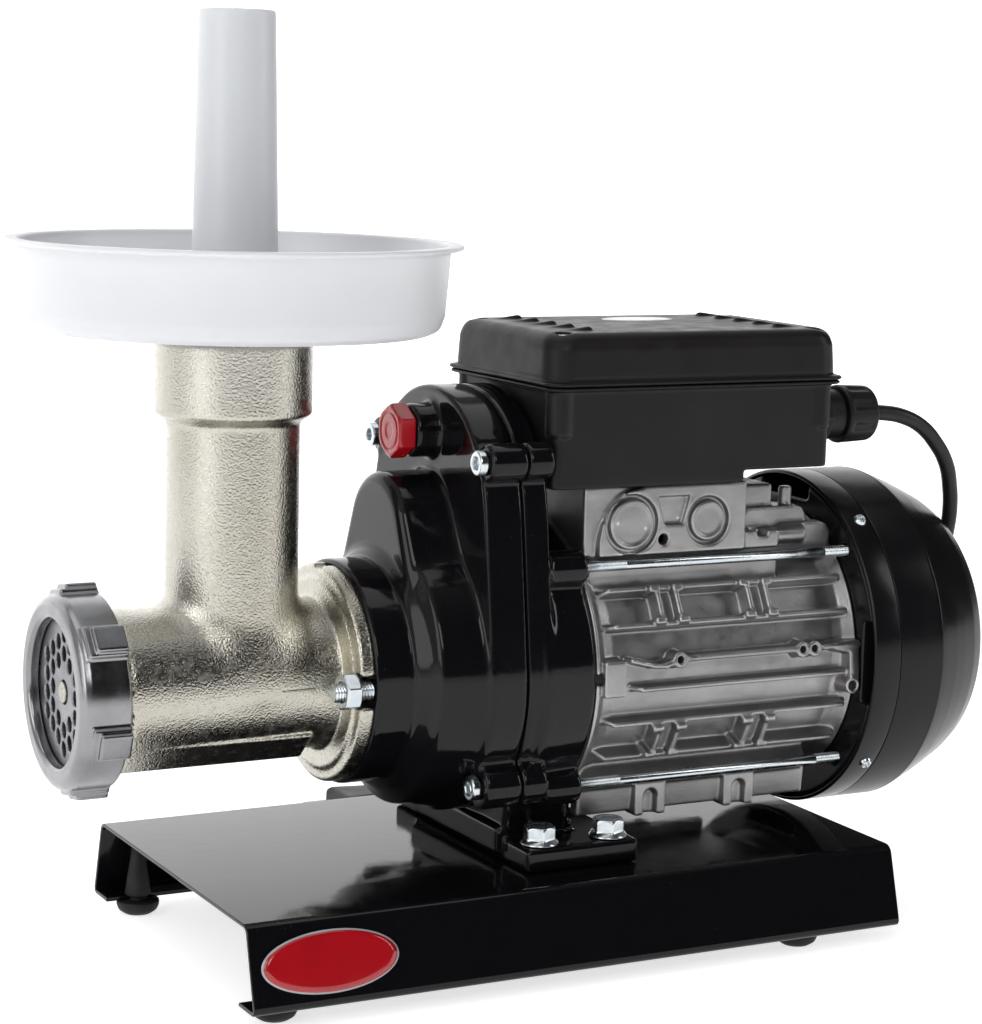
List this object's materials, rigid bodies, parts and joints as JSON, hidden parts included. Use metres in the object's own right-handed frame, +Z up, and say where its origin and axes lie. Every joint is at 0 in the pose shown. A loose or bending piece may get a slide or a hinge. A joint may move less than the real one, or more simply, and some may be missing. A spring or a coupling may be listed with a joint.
{
  "type": "electric meat grinder",
  "caption": "Electric meat grinder: cast grinder head with tray and pusher, driven through a gear case by a finned motor on a folded sheet base.",
  "frame": {"origin": "on the floor plane under the middle of the object's box, cord left out", "axes": "+X from the grinder head to the motor, +Y away from the side with the round badge, +Z up"},
  "size_m": [0.5525, 0.3556, 0.48],
  "materials": {
    "gloss_black": "mirror-gloss black enamel",
    "box_plastic": "satin black moulded plastic",
    "cover_black": "satin-gloss black enamel on pressed sheet",
    "rubber_black": "matte black rubber",
    "cord_black": "matte black cord sheath",
    "tinned_iron": "tinned cast iron, orange-peel surface",
    "nut_metal": "turned and polished grey alloy",
    "plate_steel": "ground steel",
    "gear_steel": "machined steel, oiled",
    "zinc": "bright zinc plate with a blue cast",
    "die_cast": "raw die-cast aluminium",
    "winding": "varnished copper winding on laminations",
    "plug_red": "glossy red plastic",
    "milky": "milky white translucent plastic, satin",
    "grey_can": "light grey plastic"
  },
  "bodies": {
    "frame": {"base_plate": "gloss_black", "gear_case_front": "gloss_black", "gear_case_rear": "gloss_black", "terminal_box": "box_plastic", "terminal_lid": "box_plastic", "gland_body": "box_plastic", "gland_nut": "box_plastic", "switch_body": "box_plastic", "fan_cover": "cover_black", "foot_front_near": "rubber_black", "foot_front_far": "rubber_black", "foot_rear_near": "rubber_black", "foot_rear_far": "rubber_black", "power_cable": "cord_black", "cable_coil": "cord_black", "plug": "cord_black", "grinder_body": "tinned_iron", "hole_plate": "plate_steel", "output_bearing": "gear_steel", "layshaft_bearing_front": "gear_steel", "layshaft_bearing_rear": "gear_steel", "motor_bearing_front": "gear_steel", "motor_bearing_rear": "gear_steel", "case_screw_top_near": "zinc", "case_screw_top_far": "zinc", "case_screw_low_near": "zinc", "case_screw_low_far": "zinc", "base_bolt_front_near": "zinc", "base_bolt_front_far": "zinc", "base_bolt_rear_near": "zinc", "base_bolt_rear_far": "zinc", "tie_rod_low_near": "zinc", "tie_rod_low_far": "zinc", "tie_rod_top_near": "zinc", "tie_rod_top_far": "zinc", "stud_near": "zinc", "stud_far": "zinc", "motor_housing": "die_cast", "rear_shield": "cover_black", "stator": "winding", "oil_plug": "plug_red", "run_capacitor": "grey_can"},
    "output": {"output_shaft": "gear_steel", "output_gear": "gear_steel", "worm": "tinned_iron", "knife": "plate_steel"},
    "layshaft": {"layshaft": "gear_steel", "layshaft_gear": "gear_steel"},
    "rotor": {"motor_shaft": "gear_steel", "rotor": "gear_steel", "cooling_fan": "box_plastic"},
    "ring_nut": {"ring_nut": "nut_metal"},
    "tray": {"tray": "milky"},
    "pusher": {"pusher": "milky"},
    "stud_nut_near": {"stud_nut_near": "zinc"},
    "stud_nut_far": {"stud_nut_far": "zinc"},
    "switch_rocker": {"switch_rocker": "box_plastic"}
  },
  "joints": [
    {"name": "output_spin", "type": "hinge", "parent": "frame", "child": "output", "pos_m": [-0.10535, 0, 0.1465], "axis": [1, 0, 0], "continuous": true},
    {"name": "layshaft_spin", "type": "hinge", "parent": "frame", "child": "layshaft", "pos_m": [-0.04535, 0, 0.2165], "axis": [1, 0, 0], "continuous": true},
    {"name": "rotor_spin", "type": "hinge", "parent": "frame", "child": "rotor", "pos_m": [0.09465, 0, 0.1465], "axis": [1, 0, 0], "continuous": true},
    {"name": "ring_nut_turn", "type": "hinge", "parent": "frame", "child": "ring_nut", "pos_m": [-0.23535, 0, 0.1465], "axis": [-1, 0, 0], "range_deg": [0, 1080]},
    {"name": "stud_nut_near_turn", "type": "hinge", "parent": "frame", "child": "stud_nut_near", "pos_m": [-0.10935, -0.05, 0.1465], "axis": [-1, 0, 0], "range_deg": [0, 1080]},
    {"name": "stud_nut_far_turn", "type": "hinge", "parent": "frame", "child": "stud_nut_far", "pos_m": [-0.10935, 0.05, 0.1465], "axis": [-1, 0, 0], "range_deg": [0, 1080]},
    {"name": "switch_rock", "type": "hinge", "parent": "frame", "child": "switch_rocker", "pos_m": [0.04465, 0.0443, 0.272], "axis": [-1, 0, 0], "range_deg": [0, 18]},
    {"name": "tray_lift", "type": "slide", "parent": "frame", "child": "tray", "axis": [0, 0, 1], "range_m": [0, 0.06]},
    {"name": "pusher_slide", "type": "slide", "parent": "frame", "child": "pusher", "axis": [0, 0, 1], "range_m": [0, 0.3]}
  ],
  "couplings": [
    {"joint": "layshaft_spin", "follows": "output_spin", "ratio": -2.3333},
    {"joint": "rotor_spin", "follows": "output_spin", "ratio": 6.1515}
  ]
}
